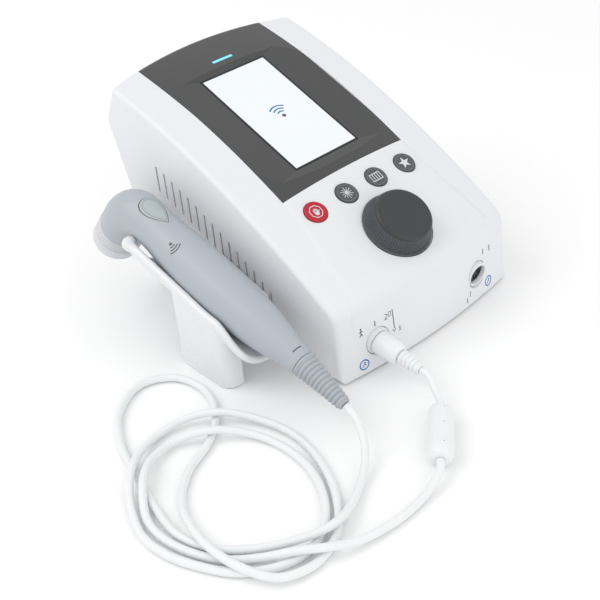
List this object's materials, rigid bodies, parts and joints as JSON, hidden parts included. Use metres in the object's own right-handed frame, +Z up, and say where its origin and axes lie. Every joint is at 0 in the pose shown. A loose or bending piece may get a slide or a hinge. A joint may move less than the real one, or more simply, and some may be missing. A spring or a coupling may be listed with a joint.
{
  "type": "ultrasound therapy device",
  "caption": "Wedge-shaped tabletop ultrasound therapy unit with a sunken display, keys and a control knob, and a corded hand applicator in a side holder.",
  "frame": {"origin": "middle of the footprint of everything but the cord, on the table", "axes": "+X to the right of a person facing the display, +Y towards the back, +Z up"},
  "size_m": [0.3225, 0.3302, 0.1483],
  "materials": {
    "white_housing": "fine satin, cool white",
    "charcoal": "satin, charcoal",
    "knob_grey": "satin, dark grey",
    "key_grey": "satin, grey",
    "key_red": "satin, red",
    "screen": "polished, lit white screen",
    "display_grey": "matte",
    "cyan_light": "glossy, lit light guide",
    "board_green": "solder mask, satin",
    "bare_metal": "fine turned",
    "steel": "zinc plated",
    "dark_plastic": "satin black",
    "foot_rubber": "matte",
    "applicator_grey": "satin, grey blue",
    "collar_grey": "satin, light grey",
    "boot_grey": "matte, soft",
    "pad_grey": "matte, soft",
    "cord_white": "satin, off-white",
    "ceramic": "matte fired ceramic"
  },
  "bodies": {
    "console": {"upper_housing": "white_housing", "base_tray": "white_housing", "display_bezel": "charcoal", "touch_glass": "screen", "display_panel": "display_grey", "display_board": "board_green", "light_bar": "cyan_light", "key_board": "board_green", "encoder_body": "steel", "left_socket_sleeve": "white_housing", "left_socket_contacts": "dark_plastic", "right_socket_sleeve": "white_housing", "right_socket_contacts": "dark_plastic", "generator_board": "board_green", "heat_sink": "bare_metal", "power_board": "board_green", "rear_panel": "white_housing", "mains_inlet": "dark_plastic", "switch_frame": "dark_plastic", "front_left_foot": "foot_rubber", "front_right_foot": "foot_rubber", "rear_left_foot": "foot_rubber", "rear_right_foot": "foot_rubber", "front_left_screw": "steel", "front_right_screw": "steel", "rear_left_screw": "steel", "rear_right_screw": "steel", "applicator_holder": "white_housing", "holder_screw_1": "steel", "holder_screw_2": "steel", "cord_applicator_side": "cord_white", "ferrite_bead": "cord_white", "cord_plug": "cord_white", "plug_relief": "cord_white", "cord_plug_side": "cord_white"},
    "stop_key": {"stop_key": "key_red"},
    "light_key": {"light_key": "key_grey"},
    "list_key": {"list_key": "key_grey"},
    "star_key": {"star_key": "key_grey"},
    "knob": {"control_knob": "knob_grey", "encoder_shaft": "steel"},
    "power_rocker": {"power_rocker": "dark_plastic"},
    "thumb_key": {"thumb_key": "pad_grey"},
    "applicator": {"applicator_left_shell": "applicator_grey", "applicator_right_shell": "applicator_grey", "thumb_key_board": "board_green", "head_collar": "collar_grey", "treatment_face": "bare_metal", "piezo_disc": "ceramic", "cable_boot": "boot_grey"}
  },
  "joints": [
    {"name": "stop_key_press", "type": "slide", "parent": "console", "child": "stop_key", "axis": [0, 0.5075, -0.8616], "range_m": [0, 0.0012], "stiffness_N_per_m": 1200, "springref_m": -0.0004},
    {"name": "light_key_press", "type": "slide", "parent": "console", "child": "light_key", "axis": [0, 0.5075, -0.8616], "range_m": [0, 0.0012], "stiffness_N_per_m": 1200, "springref_m": -0.0004},
    {"name": "list_key_press", "type": "slide", "parent": "console", "child": "list_key", "axis": [0, 0.5075, -0.8616], "range_m": [0, 0.0012], "stiffness_N_per_m": 1200, "springref_m": -0.0004},
    {"name": "star_key_press", "type": "slide", "parent": "console", "child": "star_key", "axis": [0, 0.5075, -0.8616], "range_m": [0, 0.0012], "stiffness_N_per_m": 1200, "springref_m": -0.0004},
    {"name": "knob_turn", "type": "hinge", "parent": "console", "child": "knob", "pos_m": [0.0241, -0.07313, 0.07088], "axis": [0, -0.5446, 0.8387], "continuous": true},
    {"name": "power_switch", "type": "hinge", "parent": "console", "child": "power_rocker", "pos_m": [0.0411, 0.09249, 0.03898], "axis": [1, 0, 0], "range_deg": [0, 14]},
    {"name": "applicator_lift", "type": "slide", "parent": "console", "child": "applicator", "axis": [0, -0.2924, 0.9563], "range_m": [0, 0.05]},
    {"name": "thumb_key_press", "type": "slide", "parent": "applicator", "child": "thumb_key", "axis": [0, 0.3467, -0.938], "range_m": [0, 0.001], "stiffness_N_per_m": 900, "springref_m": -0.0004}
  ]
}
